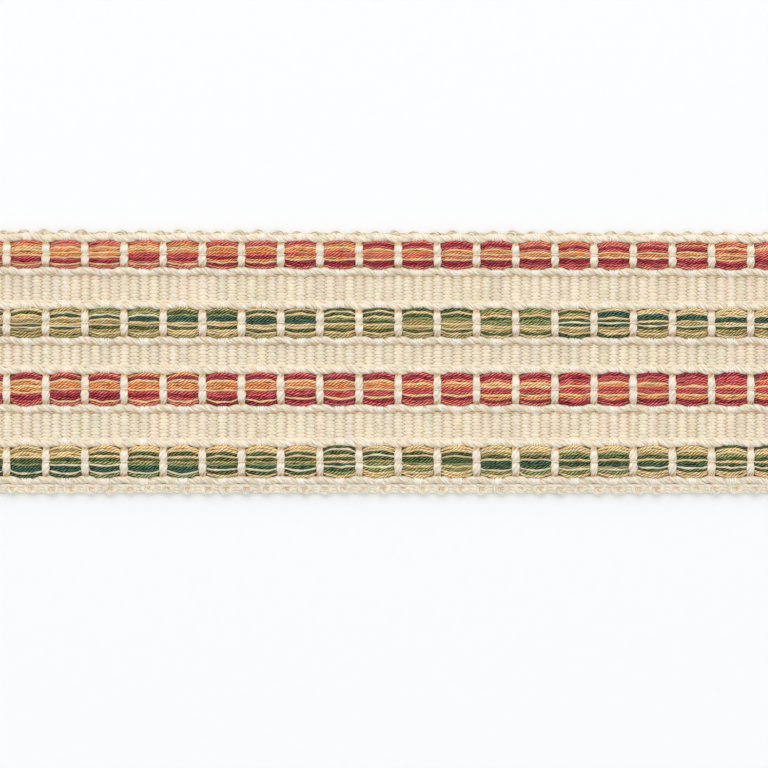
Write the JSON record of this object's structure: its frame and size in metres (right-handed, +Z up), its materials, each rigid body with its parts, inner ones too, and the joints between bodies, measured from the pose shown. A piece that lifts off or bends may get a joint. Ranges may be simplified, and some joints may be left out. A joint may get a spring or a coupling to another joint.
{
  "type": "braid trim",
  "caption": "Cut length of flat woven braid trim with ribbed strips, twisted cords, coloured floats under cross bars, and loop edges.",
  "frame": {"origin": "centre of the bounding box at its base: the middle of the flat back of the cut length", "axes": "+X along the tape, to the right in the picture; +Y across it, towards the top of the picture; +Z up from its back to its face"},
  "size_m": [0.1574, 0.051, 0.0026],
  "materials": {
    "cream_weave": "matt woven cotton, thick cream weft under fine cream warp",
    "cream_cord": "soft twisted cotton cord",
    "red_floats": "two-ply yarns in crimson, rose, coral, orange and gold with a slight sheen",
    "green_floats": "two-ply yarns in deep green, olive, tan and pale gold with a slight sheen"
  },
  "bodies": {
    "root": {"ground": "cream_weave", "cord_1": "cream_cord", "cord_2": "cream_cord", "cord_3": "cream_cord", "cord_4": "cream_cord", "cord_5": "cream_cord", "cord_6": "cream_cord", "cord_7": "cream_cord", "cord_8": "cream_cord", "float_red_1": "red_floats", "float_green_1": "green_floats", "float_red_2": "red_floats", "float_green_2": "green_floats"}
  },
  "joints": []
}
